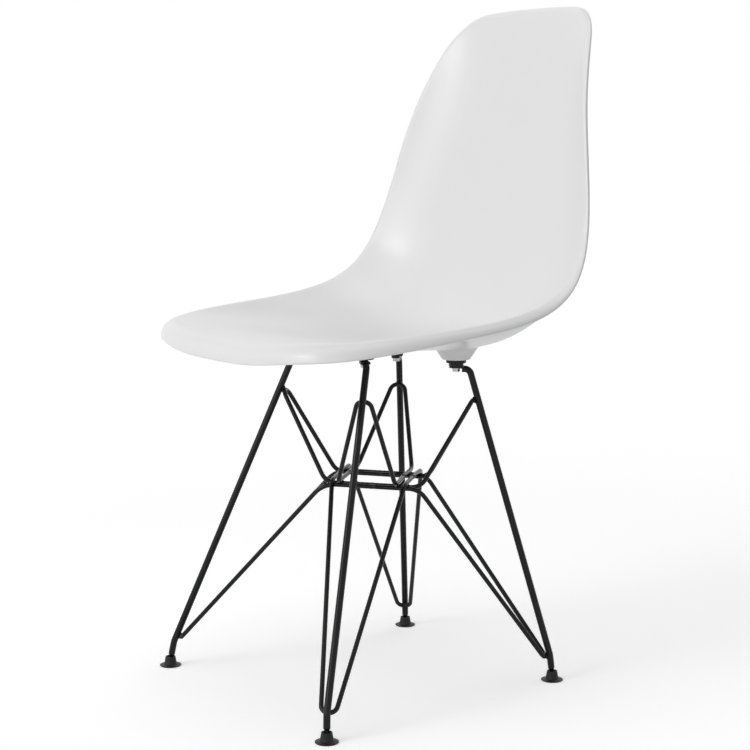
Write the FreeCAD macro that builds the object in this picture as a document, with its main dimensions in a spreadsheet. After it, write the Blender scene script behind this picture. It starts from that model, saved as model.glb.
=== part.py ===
# Moulded plastic shell chair on a base of bent steel rod and wire.
# Millimetres. +Z is up, the sitter faces -Y and +X is the sitter's left.
# The origin is on the floor, under the middle of the chair's overall length and width.

import FreeCAD, Part
import Sketcher
import math
import os
from FreeCAD import Vector, Placement, Rotation

doc = FreeCAD.newDocument("ShellChair")
sheet = doc.addObject("Spreadsheet::Sheet", "Sizes")

# Sizes of the seat shell
SHELL = [
    ("SeatLowPoint", 415.5, "height of the lowest point of the sitting surface"),
    ("WallThickness", 4.6, "moulded wall"),
    ("FlatHalfLength", 408.0, "half of the shell's outline length, measured along the surface"),
    ("FlatSeatHalfWidth", 199.0, "half of the outline width at the front of the seat"),
    ("FlatBackHalfWidth", 136.0, "half of the outline width at the top of the back"),
    ("FrontCorner", 121.0, "corner radius of the outline at the front of the seat"),
    ("TopCorner", 34.0, "corner radius of the outline at the top of the back"),
    ("HollowFront", 0.5, "share of round section, against flat-bottomed section, in the seat"),
    ("HollowBack", 0.6, "the same in the back"),
]
# Nine cross sections of the shell, from the front of the seat to the top of the back.
# Each has its middle line (y and rise), its rim line (y and rise) and its half width.
# Rises are measured from SeatLowPoint.
SECTIONS = [
    ("Lip", -223.1, 21.5, -241.6, 29.5, 131.5),
    ("Thigh", -154.1, 21.0, -189.1, 30.5, 176.0),
    ("Seat", -71.1, 9.0, -114.6, 35.0, 203.0),
    ("Hollow", 18.9, 0.0, -29.6, 40.5, 211.5),
    ("Tail", 99.9, 4.5, 55.9, 53.5, 211.0),
    ("Hip", 158.9, 55.5, 119.9, 92.0, 208.5),
    ("Loin", 191.9, 147.5, 152.9, 175.5, 192.5),
    ("Back", 213.4, 266.0, 175.9, 289.0, 161.0),
    ("Top", 233.4, 407.0, 219.4, 401.5, 119.0),
]
# The rolled rim at the same sections: outer radius of the roll, and the angle it turns through.
RIM = [
    ("Lip", 18.5, 108.0),
    ("Thigh", 19.0, 98.0),
    ("Seat", 17.8, 97.0),
    ("Hollow", 15.8, 98.0),
    ("Tail", 14.1, 105.0),
    ("Hip", 10.0, 89.0),
    ("Loin", 7.6, 69.0),
    ("Back", 7.8, 68.0),
    ("Top", 8.9, 83.0),
]
# Sizes of the mounts under the seat
MOUNTS = [
    ("FrontMountX", 64.6, "front bolts, from the middle plane"),
    ("FrontMountY", -74.2, "front bolts"),
    ("RearMountX", 61.9, "rear bolts, from the middle plane"),
    ("RearMountY", 66.0, "rear bolts"),
    ("FrontBossDepth", 10.7, "front bosses, below the underside of the shell"),
    ("RearBossDepth", 17.3, "rear bosses, below the underside of the shell"),
    ("BossFoot", 31.0, "diameter of a boss at its foot"),
    ("BossDraft", 33.0, "slope of a boss's side, degrees from upright"),
    ("InsertDiameter", 8.0, "threaded insert, outside"),
    ("InsertLength", 8.0, "threaded insert"),
    ("InsertClearance", 0.02, "radial, insert in boss"),
    ("BoltDiameter", 5.0, "bolt shank"),
    ("BoltHeadWidth", 8.0, "across the flats"),
    ("BoltHeadHeight", 3.5, "hexagon head"),
    ("BoltChamfer", 0.4, "at the head's outer edge"),
    ("BoltThreadGap", 0.05, "radial, bolt in insert"),
    ("BoltEndGap", 0.6, "bolt's tip below the end of the insert"),
    ("HoleClearance", 0.25, "radial, bolt in lug, washer and spacer"),
    ("WasherDiameter", 10.0, "plain washer"),
    ("WasherThickness", 1.0, "plain washer"),
    ("SpacerFlange", 24.0, "diameter of the spacer's flange"),
    ("FlangeThickness", 2.0, "spacer's flange"),
    ("FlangeEdge", 0.5, "rounding of the flange's edge"),
    ("SpacerNeck", 10.0, "diameter of the spacer's neck"),
    ("NeckHeight", 2.3, "spacer's neck"),
    ("LugWidth", 11.0, "tongue at the top of a leg"),
    ("LugThickness", 3.0, "tongue at the top of a leg"),
    ("LugTip", 8.5, "from the bolt to the tongue's rounded tip"),
    ("LugLap", 3.0, "length of the tongue let into the end of the rod"),
    ("RodEnd", 7.2, "from the bolt to the cut end of the rod"),
]
# Sizes of the base
BASE = [
    ("LegRod", 8.3, "diameter of the leg rods"),
    ("FrontFootX", 177.4, "front feet, from the middle plane"),
    ("FrontFootY", -205.5, "front feet"),
    ("RearFootX", 152.4, "rear feet, from the middle plane"),
    ("RearFootY", 148.9, "rear feet"),
    ("AnkleHeight", 32.0, "height of the slight bend above each foot"),
    ("FrontAnkleInX", 4.3, "how far the front ankle lies inside its foot, in x"),
    ("FrontAnkleInY", 3.2, "the same, in y"),
    ("RearAnkleInX", 2.2, "how far the rear ankle lies inside its foot, in x"),
    ("RearAnkleInY", 2.0, "the same, in y"),
    ("AnkleRadius", 30.0, "bend radius at the ankle"),
    ("ShoulderRadius", 8.0, "bend radius at the top of a leg"),
    ("FrontShoulder", 13.7, "from a front bolt to the corner of the leg's top bend"),
    ("FrontShoulderTurn", -22.8, "direction of the front lugs in plan, degrees"),
    ("RearShoulder", 16.4, "from a rear bolt to the corner of the leg's top bend"),
    ("RearShoulderTurn", 49.2, "direction of the rear lugs in plan, degrees"),
    ("BraceWire", 5.6, "diameter of the brace wires"),
    ("BraceCentreY", -11.1, "where the diagonals cross"),
    ("BarHeight", 251.0, "height of the crossing bars"),
    ("LowerBarGap", 45.5, "lower hairpins' bars, from the middle of their diagonal"),
    ("UpperBarGap", 34.5, "upper hairpins' bars, from the middle of their diagonal"),
    ("LowerFrontReach", 51.0, "from the crossing to the bend of a lower front hairpin"),
    ("LowerRearReach", 54.5, "the same, rear"),
    ("UpperFrontReach", 56.0, "from the crossing to the bend of an upper front hairpin"),
    ("UpperRearReach", 57.0, "the same, rear"),
    ("LowerFrontWeld", 39.9, "height of a lower front hairpin's tip on its leg"),
    ("LowerRearWeld", 37.6, "the same, rear"),
    ("UpperFrontDrop", 42.5, "from a front leg's top corner down to the upper hairpin's tip"),
    ("UpperRearDrop", 35.5, "the same, rear"),
    ("HairpinRadius", 11.0, "turn at a hairpin's tip"),
    ("BraceBend", 9.0, "bend radius where a bar turns into an arm"),
    ("WeldGap", 0.04, "between wires and rods that are welded"),
]
# Sizes of the feet and of the ball ends that they are snapped on
FEET = [
    ("GlideDiameter", 27.2, "foot's disc"),
    ("GlideEdge", 1.2, "height of the disc's edge"),
    ("GlideBrim", 2.4, "height of the disc where the dome starts"),
    ("DomeFoot", 17.0, "diameter of the dome where it meets the disc"),
    ("DomeTop", 12.6, "diameter of the dome's top"),
    ("DomeHeight", 12.0, "height of the dome's top"),
    ("BallDiameter", 7.5, "ball end of a leg"),
    ("BallClearance", 0.05, "radial, ball in socket"),
    ("BallHeight", 7.2, "height of the ball's centre"),
    ("SocketLip", 1.7, "height of the snap edge above the ball's centre"),
    ("MouthTop", 11.0, "diameter of the socket's flared mouth"),
    ("NeckDiameter", 4.5, "neck between leg and ball"),
    ("NeckLength", 5.8, "from the ball's centre to the shoulder of the rod"),
    ("NeckTaper", 2.5, "length of the cone from the neck to the full rod"),
]

row = 1
for group in (SHELL, MOUNTS, BASE, FEET):
    for name, value, note in group:
        sheet.set("A%d" % row, name)
        sheet.set("B%d" % row, str(value))
        sheet.set("C%d" % row, note)
        sheet.setAlias("B%d" % row, name)
        row += 1
for name, mid_y, mid_rise, rim_y, rim_rise, half_width in SECTIONS:
    for part, value in (("MidY", mid_y), ("MidRise", mid_rise), ("RimY", rim_y),
                        ("RimRise", rim_rise), ("HalfWidth", half_width)):
        sheet.set("A%d" % row, name + part)
        sheet.set("B%d" % row, str(value))
        sheet.setAlias("B%d" % row, name + part)
        row += 1
for name, radius, turn in RIM:
    for part, value in (("RollRadius", radius), ("RollTurn", turn)):
        sheet.set("A%d" % row, name + part)
        sheet.set("B%d" % row, str(value))
        sheet.setAlias("B%d" % row, name + part)
        row += 1
doc.recompute()


def size(name):
    return float(sheet.get(name))


def bind(obj, **sizes):
    for prop, formula in sizes.items():
        obj.setExpression(prop, formula)


# Form of the shell: a carrying surface through the nine sections

def natural_spline(values):
    """Smooth curve through equally spaced values, as a function of 0..1."""
    n = len(values) - 1
    bend = [0.0] * (n + 1)
    for _ in range(60):
        for i in range(1, n):
            pull = 6.0 * (values[i - 1] - 2.0 * values[i] + values[i + 1])
            bend[i] = (pull - bend[i - 1] - bend[i + 1]) / 4.0

    def curve(x):
        i = min(max(int(x * n), 0), n - 1)
        b = x * n - i
        a = 1.0 - b
        straight = a * values[i] + b * values[i + 1]
        return straight + ((a ** 3 - a) * bend[i] + (b ** 3 - b) * bend[i + 1]) / 6.0
    return curve


low = size("SeatLowPoint")
mid_y = natural_spline([size(s[0] + "MidY") for s in SECTIONS])
mid_z = natural_spline([low + size(s[0] + "MidRise") for s in SECTIONS])
rim_y = natural_spline([size(s[0] + "RimY") for s in SECTIONS])
rim_z = natural_spline([low + size(s[0] + "RimRise") for s in SECTIONS])
half_width = natural_spline([size(s[0] + "HalfWidth") for s in SECTIONS])
front_share, back_share = size("HollowFront"), size("HollowBack")
roundness = natural_spline([front_share, front_share, back_share, back_share])
roll_radius = natural_spline([size(r[0] + "RollRadius") for r in RIM])
roll_turn = natural_spline([size(r[0] + "RollTurn") for r in RIM])
wall = size("WallThickness")
half_length = size("FlatHalfLength")


def carrier(along, across):
    """Sitting surface: along -1 front .. 1 top, across -1 .. 1."""
    s = (along + 1.0) / 2.0
    share = roundness(s)
    hollow = share * across ** 2 + (1.0 - share) * across ** 4
    y = mid_y(s) + (rim_y(s) - mid_y(s)) * hollow
    z = mid_z(s) + (rim_z(s) - mid_z(s)) * hollow
    return Vector(half_width(s) * across, y, z)


def carrier_normal(along, across):
    step = 1e-4
    d_along = carrier(along + step, across) - carrier(along - step, across)
    d_across = carrier(along, across + step) - carrier(along, across - step)
    return d_across.cross(d_along).normalize()


def outline(u, v):
    """Outline of the shell laid flat: a square's edge, with its corners drawn in."""
    blend = min(max((u + 0.6) / 1.2, 0.0), 1.0)
    blend = blend * blend * (3.0 - 2.0 * blend)
    in_along = in_across = 0.0
    corners = ((size("FrontCorner"), size("FlatSeatHalfWidth"), 1.0 - blend),
               (size("TopCorner"), size("FlatBackHalfWidth"), blend))
    for radius, width, weight in corners:
        # a corner of this radius leaves the square's corner by this much each way
        cut = radius * (1.0 - math.sqrt(0.5))
        across_power = (width - cut) / cut
        along_power = (half_length - cut) / cut
        in_along += weight * cut / half_length * abs(v) ** across_power
        in_across += weight * cut / width * abs(u) ** along_power
    return u * (1.0 - in_along), v * (1.0 - in_across)


def shell_outline(count):
    """Stations round the outline, closer together where it turns."""
    fine = 1600
    square = []
    for k in range(fine):
        w = 8.0 * k / fine
        if w < 1.0:
            square.append((-1.0, w))
        elif w < 3.0:
            square.append((w - 2.0, 1.0))
        elif w < 5.0:
            square.append((1.0, 4.0 - w))
        elif w < 7.0:
            square.append((6.0 - w, -1.0))
        else:
            square.append((-1.0, w - 8.0))
    flat = [outline(u, v) for u, v in square]
    points = [carrier(a, c) for a, c in flat]
    reach = [0.0]
    for k in range(fine):
        before, here, after = points[k - 1], points[k], points[(k + 1) % fine]
        one, two = here - before, after - here
        turn = one.getAngle(two) if one.Length > 1e-9 and two.Length > 1e-9 else 0.0
        reach.append(reach[-1] + two.Length / 40.0 + turn * 2.2)
    stations = []
    k = 0
    for i in range(count):
        target = reach[-1] * i / count
        while reach[k + 1] < target:
            k += 1
        part = (target - reach[k]) / (reach[k + 1] - reach[k])
        a0, c0 = flat[k]
        a1, c1 = flat[(k + 1) % fine]
        stations.append((a0 + (a1 - a0) * part, c0 + (c1 - c0) * part))
    return stations


AROUND = 56
PANEL_STEPS = 9
ROLL_STEPS = 4

stations = shell_outline(AROUND)
edge_points = [carrier(a, c) for a, c in stations]


def panel_line(a, c, depth):
    """From next to the middle of the panel straight out to its edge, and its two end directions."""
    def point(share):
        return carrier(a * share, c * share) - carrier_normal(a * share, c * share) * depth
    line = [point(k / PANEL_STEPS) for k in range(1, PANEL_STEPS + 1)]
    return line, point(0.01) - point(-0.01), point(1.0) - point(0.98)


def rim_lines(index):
    """The rolled rim at one station: its outer side, its flat free edge and its inner side."""
    a, c = stations[index]
    here = edge_points[index]
    along_edge = edge_points[(index + 1) % AROUND] - edge_points[index - 1]
    up = carrier_normal(a, c)
    out = along_edge.cross(up).normalize()
    if out.dot(here - carrier(a * 0.97, c * 0.97)) < 0:
        out = out * -1.0
    s = (a + 1.0) / 2.0
    radius = roll_radius(s)
    turn = math.radians(roll_turn(s))

    def rolled(r, angle):
        return here - up * radius + out * (r * math.sin(angle)) + up * (r * math.cos(angle))
    angles = [turn * k / ROLL_STEPS for k in range(ROLL_STEPS + 1)]
    outer = [rolled(radius, angle) for angle in angles]
    inner = [rolled(radius - wall, angle) for angle in reversed(angles)]
    ahead = out * math.cos(turn) - up * math.sin(turn)
    return outer, inner, out, ahead


def even_spacing(lines):
    """Shared parameters for a family of lines: mean distances from point to point."""
    total = [0.0]
    for k in range(1, len(lines[0])):
        mean = sum((line[k] - line[k - 1]).Length for line in lines) / len(lines)
        total.append(total[-1] + mean)
    return total


around = even_spacing([edge_points + [edge_points[0]]])


def ring_spline(ring):
    curve = Part.BSplineCurve()
    curve.interpolate(Points=ring, PeriodicFlag=True, Parameters=around)
    return curve


def line_poles(points, places, start, end):
    """Control points of the cubic spline through points, with given end directions."""
    last = len(points) - 1
    gaps = [places[k + 1] - places[k] for k in range(last)]
    slopes = [(points[k + 1] - points[k]) * (1.0 / gaps[k]) for k in range(last)]
    slopes.append(slopes[-1])
    slopes[0], slopes[last] = start, end
    for _ in range(40):
        for k in range(1, last):
            back, ahead = gaps[k - 1], gaps[k]
            known = (points[k] - points[k - 1]) * (3.0 * ahead / back)
            known += (points[k + 1] - points[k]) * (3.0 * back / ahead)
            known -= slopes[k - 1] * ahead + slopes[k + 1] * back
            slopes[k] = known * (0.5 / (back + ahead))
    poles = [points[0], points[0] + slopes[0] * (gaps[0] / 3.0)]
    for k in range(1, last):
        near = points[k] + slopes[k] * (gaps[k] / 3.0)
        far = points[k + 1] - slopes[k + 1] * (gaps[k] / 3.0)
        poles.append(near - (far - near) * (gaps[k - 1] / gaps[k]))
    return poles + [points[last] - slopes[last] * (gaps[-1] / 3.0), points[last]]


def strip(lines, starts, ends, pole=None):
    """Smooth closed band through one line of points per station.

    With a pole, every line starts at that one point and the band closes over it."""
    rings = [ring_spline([line[k] for line in lines]) for k in range(len(lines[0]))]
    poles = [ring.getPoles() for ring in rings]
    knots, counts = rings[0].getKnots(), rings[0].getMultiplicities()
    if pole:
        lines = [[pole] + line for line in lines]
        poles.insert(0, [pole] * len(poles[0]))
    across = even_spacing(lines)
    first, final = across[1], across[-1] - across[-2]
    starts = [v.normalize() * ((line[1] - line[0]).Length / first) for v, line in zip(starts, lines)]
    ends = [v.normalize() * ((line[-1] - line[-2]).Length / final) for v, line in zip(ends, lines)]
    start_poles = ring_spline(starts).getPoles()
    end_poles = ring_spline(ends).getPoles()
    columns = [line_poles([ring[i] for ring in poles], across, start_poles[i], end_poles[i])
               for i in range(len(start_poles))]
    net = [list(row) for row in zip(*columns)]
    ends_count = [4] + [1] * (len(across) - 2) + [4]
    surface = Part.BSplineSurface()
    surface.buildFromPolesMultsKnots(net, ends_count, counts, across, knots, False, True, 3, 3)
    return surface.toShape()


def closed_wall():
    """The whole moulded wall as a solid: two panels, and the rolled rim between them."""
    tops = [panel_line(a, c, 0.0) for a, c in stations]
    unders = [panel_line(a, c, wall) for a, c in stations]
    rims = [rim_lines(i) for i in range(AROUND)]
    outs = [rim[2] for rim in rims]
    aheads = [rim[3] for rim in rims]
    backs = [v * -1.0 for v in aheads]
    ins = [v * -1.0 for v in outs]
    middle = carrier(0.0, 0.0)
    outer_edge = ring_spline([rim[0][-1] for rim in rims]).toShape()
    inner_edge = ring_spline([rim[1][0] for rim in rims]).toShape()
    faces = [
        strip([t[0] for t in tops], [t[1] for t in tops], [t[2] for t in tops], middle),
        strip([rim[0] for rim in rims], outs, aheads),
        Part.makeRuledSurface(outer_edge, inner_edge),
        strip([rim[1] for rim in rims], backs, ins),
        strip([t[0] for t in unders], [t[1] for t in unders], [t[2] for t in unders],
              middle - carrier_normal(0.0, 0.0) * wall),
    ]
    shell = Part.makeShell(faces)
    shell.sewShape()
    solid = Part.Solid(shell)
    if solid.Volume < 0:
        solid.reverse()
    return solid


def seat_point(x, y):
    """Underside of the shell right above x, y."""
    along, across = -0.2, x / 210.0
    for _ in range(40):
        here = carrier(along, across) - carrier_normal(along, across) * wall
        across += (x - here.x) / 210.0
        along += (y - here.y) / half_length
    return carrier(along, across) - carrier_normal(along, across) * wall


def plain_feature(name, shape):
    obj = doc.addObject("Part::Feature", name)
    obj.Shape = shape
    return obj


def at(frame, x, y, z):
    return frame.multiply(Placement(Vector(x, y, z), Rotation()))


# Frames of the four corners: mount, foot and leg
CORNERS = {}
for end in ("front", "rear"):
    cap = end.capitalize()
    mount_x, mount_y = size(cap + "MountX"), size(cap + "MountY")
    under = seat_point(mount_x, mount_y)
    seat_level = under.z - size(cap + "BossDepth")
    lug_top = seat_level - size("FlangeThickness") - size("NeckHeight")
    lug_under = lug_top - size("LugThickness")
    rod_level = lug_top - size("LegRod") / 2.0
    for side_name, side in (("left", 1.0), ("right", -1.0)):
        turn = math.radians(size(cap + "ShoulderTurn"))
        outward = Vector(side * math.cos(turn), math.sin(turn), 0)
        mount = Vector(side * mount_x, mount_y, seat_level)
        heading = math.degrees(math.atan2(outward.y, outward.x))
        foot = Vector(side * size(cap + "FootX"), size(cap + "FootY"), 0)
        inward_y = -1.0 if end == "rear" else 1.0
        CORNERS[end + "_" + side_name] = {
            "end": end,
            "cap": cap,
            "side": side,
            "mount": mount,
            "boss_top": under.z,
            "frame": Placement(mount, Rotation(Vector(0, 0, 1), heading)),
            "rod_end": Vector(mount.x, mount.y, rod_level) + outward * size("RodEnd"),
            "shoulder": Vector(mount.x, mount.y, rod_level) + outward * size(cap + "Shoulder"),
            "ankle": Vector(foot.x - side * size(cap + "AnkleInX"),
                            foot.y + inward_y * size(cap + "AnkleInY"), size("AnkleHeight")),
            "ball": Vector(foot.x, foot.y, size("BallHeight")),
            "foot": foot,
        }

nodes = []

# Seat shell with its four bosses
wall_feature = plain_feature("shell_wall", closed_wall())


def seat_void():
    """Space above the middle of the wall, that the bosses are trimmed against."""
    grid = []
    for i in range(13):
        along = -0.75 + 1.05 * i / 12.0
        line = []
        for j in range(13):
            across = -0.8 + 1.6 * j / 12.0
            line.append(carrier(along, across) - carrier_normal(along, across) * (wall / 2.0))
        grid.append(line)
    surface = Part.BSplineSurface()
    surface.interpolate(grid)
    height = 4.0 * (max(size("FrontBossDepth"), size("RearBossDepth")) + wall)
    return surface.toShape().extrude(Vector(0, 0, height))


void_feature = plain_feature("space_over_wall", seat_void())
bosses = []
bores = []
for corner, c in CORNERS.items():
    cone = doc.addObject("Part::Cone", "boss_cone_" + corner)
    bind(cone, Radius1="Sizes.BossFoot / 2",
         Height="Sizes.%sBossDepth + 2 * Sizes.WallThickness" % c["cap"],
         Radius2="Sizes.BossFoot / 2 + (Sizes.%sBossDepth + 2 * Sizes.WallThickness)"
                 " * tan(Sizes.BossDraft * 1 deg)" % c["cap"])
    cone.Placement = Placement(c["mount"], Rotation())
    trimmed = doc.addObject("Part::Cut", "boss_" + corner)
    trimmed.Base = cone
    trimmed.Tool = void_feature
    bosses.append(trimmed)
    bore = doc.addObject("Part::Cylinder", "insert_bore_" + corner)
    bind(bore, Radius="Sizes.InsertDiameter / 2 + Sizes.InsertClearance",
         Height="Sizes.InsertLength + 1")
    bore.Placement = at(Placement(c["mount"], Rotation()), 0, 0, -1)
    bores.append(bore)
blank = doc.addObject("Part::MultiFuse", "shell_with_bosses")
blank.Shapes = [wall_feature] + bosses
bore_set = doc.addObject("Part::Compound", "insert_bores")
bore_set.Links = bores
seat = doc.addObject("Part::Cut", "seat_shell")
seat.Base = blank
seat.Tool = bore_set
seat.Label = "seat_shell"
nodes.append(seat)


# Helpers for the smaller pieces

def formula(terms):
    """Terms such as (0.5, "LegRod") as a formula of the sheet."""
    return " + ".join("%g * Sizes.%s" % (factor, name) for factor, name in terms) or "0"


def amount(terms):
    return sum(factor * size(name) for factor, name in terms)


def turned(name, corners, placement):
    """A turned piece: a closed outline of (radius, height) corners revolved about Z."""
    body = doc.addObject("PartDesign::Body", name)
    body.Label = name
    plane = [f for f in body.Origin.OriginFeatures if f.Role == "XZ_Plane"][0]
    sketch = body.newObject("Sketcher::SketchObject", name + "_outline")
    sketch.AttachmentSupport = [(plane, "")]
    sketch.MapMode = "FlatFace"
    points = [Vector(amount(r), amount(h), 0) for r, h in corners]
    count = len(points)
    for k in range(count):
        sketch.addGeometry(Part.LineSegment(points[k], points[(k + 1) % count]), False)
    for k in range(count):
        sketch.addConstraint(Sketcher.Constraint("Coincident", k, 2, (k + 1) % count, 1))
    for k, (r, h) in enumerate(corners):
        for kind, terms in (("DistanceX", r), ("DistanceY", h)):
            if terms:
                place = sketch.addConstraint(Sketcher.Constraint(kind, -1, 1, k, 1, amount(terms)))
                sketch.setExpression("Constraints[%d]" % place, formula(terms))
            else:
                axis = "PointOnObject"
                sketch.addConstraint(Sketcher.Constraint(axis, k, 1, -2 if kind == "DistanceX" else -1))
    turn = body.newObject("PartDesign::Revolution", name + "_turn")
    turn.Profile = sketch
    turn.ReferenceAxis = (sketch, ["V_Axis"])
    turn.Angle = 360.0
    body.Placement = placement
    return body


def cylinder(name, placement, radius, height):
    obj = doc.addObject("Part::Cylinder", name)
    bind(obj, Radius=radius, Height=height)
    obj.Placement = placement
    return obj


def cone(name, placement, radius1, radius2, height):
    obj = doc.addObject("Part::Cone", name)
    bind(obj, Radius1=radius1, Radius2=radius2, Height=height)
    obj.Placement = placement
    return obj


def ball(name, placement, radius):
    obj = doc.addObject("Part::Sphere", name)
    bind(obj, Radius=radius)
    obj.Placement = placement
    return obj


def cut(name, base, tool):
    obj = doc.addObject("Part::Cut", name)
    obj.Base = base
    obj.Tool = tool
    obj.Label = name
    return obj


def fuse(name, shapes):
    obj = doc.addObject("Part::MultiFuse", name)
    obj.Shapes = shapes
    obj.Label = name
    return obj


def bent_rod(name, points, radii, diameter):
    """A rod swept along straight runs that are joined by tangent arcs."""
    edges = []
    here = points[0]
    for k in range(1, len(points) - 1):
        back = (points[k - 1] - points[k]).normalize()
        ahead = (points[k + 1] - points[k]).normalize()
        half = back.getAngle(ahead) / 2.0
        reach = radii[k - 1] / math.tan(half)
        bisector = (back + ahead).normalize()
        centre = points[k] + bisector * (radii[k - 1] / math.sin(half))
        start = points[k] + back * reach
        finish = points[k] + ahead * reach
        edges.append(Part.LineSegment(here, start).toShape())
        edges.append(Part.Arc(start, centre - bisector * radii[k - 1], finish).toShape())
        here = finish
    edges.append(Part.LineSegment(here, points[-1]).toShape())
    return sweep_along(name, edges, diameter)


def sweep_along(name, edges, diameter):
    path = plain_feature(name + "_path", Part.Wire(edges))
    start = edges[0].valueAt(edges[0].FirstParameter)
    heading = edges[0].tangentAt(edges[0].FirstParameter)
    ring = doc.addObject("Part::Circle", name + "_section")
    ring.setExpression("Radius", diameter + " / 2")
    ring.Placement = Placement(start, Rotation(Vector(0, 0, 1), heading))
    rod = doc.addObject("Part::Sweep", name)
    rod.Sections = [ring]
    rod.Spine = (path, ["Edge%d" % (k + 1) for k in range(len(edges))])
    rod.Solid = True
    rod.Frenet = False
    rod.Label = name
    return rod


# Legs, each with its ball end, and the notch for its lug
for corner, c in CORNERS.items():
    axis = (c["ankle"] - c["ball"]).normalize()
    rod_start = c["ball"] + axis * (size("NeckLength") + size("NeckTaper"))
    rod = bent_rod("rod_" + corner, [rod_start, c["ankle"], c["shoulder"], c["rod_end"]],
                   [size("AnkleRadius"), size("ShoulderRadius")], "Sizes.LegRod")
    upright = Placement(c["ball"], Rotation(Vector(0, 0, 1), axis))
    neck = cylinder("neck_" + corner, upright, "Sizes.NeckDiameter / 2",
                    "Sizes.NeckLength + Sizes.NeckTaper / 2")
    taper = cone("taper_" + corner, at(upright, 0, 0, size("NeckLength")),
                 "Sizes.NeckDiameter / 2", "Sizes.LegRod / 2", "Sizes.NeckTaper")
    knob = ball("ball_" + corner, upright, "Sizes.BallDiameter / 2")
    whole = fuse("leg_blank_" + corner, [rod, taper, neck, knob])
    notch = doc.addObject("Part::Box", "notch_" + corner)
    bind(notch, Length="Sizes.LugLap + 1", Width="Sizes.LegRod * 2", Height="Sizes.LegRod")
    drop = size("FlangeThickness") + size("NeckHeight") + size("LugThickness")
    notch.Placement = at(c["frame"], size("RodEnd") - 1.0, -size("LegRod"), -drop)
    nodes.append(cut("leg_" + corner, whole, notch))

# Lugs: flat tongues with a round tip, let into the ends of the rods
for corner, c in CORNERS.items():
    drop = size("FlangeThickness") + size("NeckHeight") + size("LugThickness")
    tip = size("LugTip") - size("LugWidth") / 2.0
    plate = doc.addObject("Part::Box", "lug_plate_" + corner)
    bind(plate, Length="Sizes.LugTip - Sizes.LugWidth / 2 + Sizes.RodEnd + Sizes.LugLap",
         Width="Sizes.LugWidth", Height="Sizes.LugThickness")
    plate.Placement = at(c["frame"], -tip, -size("LugWidth") / 2.0, -drop)
    nose = cylinder("lug_nose_" + corner, at(c["frame"], -tip, 0, -drop),
                    "Sizes.LugWidth / 2", "Sizes.LugThickness")
    hole = cylinder("lug_hole_" + corner, at(c["frame"], 0, 0, -drop - 1.0),
                    "Sizes.BoltDiameter / 2 + Sizes.HoleClearance", "Sizes.LugThickness + 2")
    tongue = fuse("lug_blank_" + corner, [plate, nose])
    nodes.append(cut("lug_" + corner, tongue, hole))

# Spacers between the bosses and the lugs
HOLE = [(0.5, "BoltDiameter"), (1, "HoleClearance")]
NECK = [(0.5, "SpacerNeck")]
FLANGE = [(0.5, "SpacerFlange")]
INNER_FLANGE = [(0.5, "SpacerFlange"), (-1, "FlangeEdge")]
for corner, c in CORNERS.items():
    foot = [(-1, "FlangeThickness"), (-1, "NeckHeight")]
    under = [(-1, "FlangeThickness")]
    spacer = turned("mount_spacer_" + corner, [
        (HOLE, foot), (NECK, foot), (NECK, under), (INNER_FLANGE, under),
        (FLANGE, under + [(1, "FlangeEdge")]), (FLANGE, []), (HOLE, []),
    ], c["frame"])
    nodes.append(spacer)

# Brace wires: hairpins with their tips on the legs and their ends butted in the middle
diagonal = Vector(size("FrontFootX") + size("RearFootX"), size("FrontFootY") - size("RearFootY"), 0)


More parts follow.
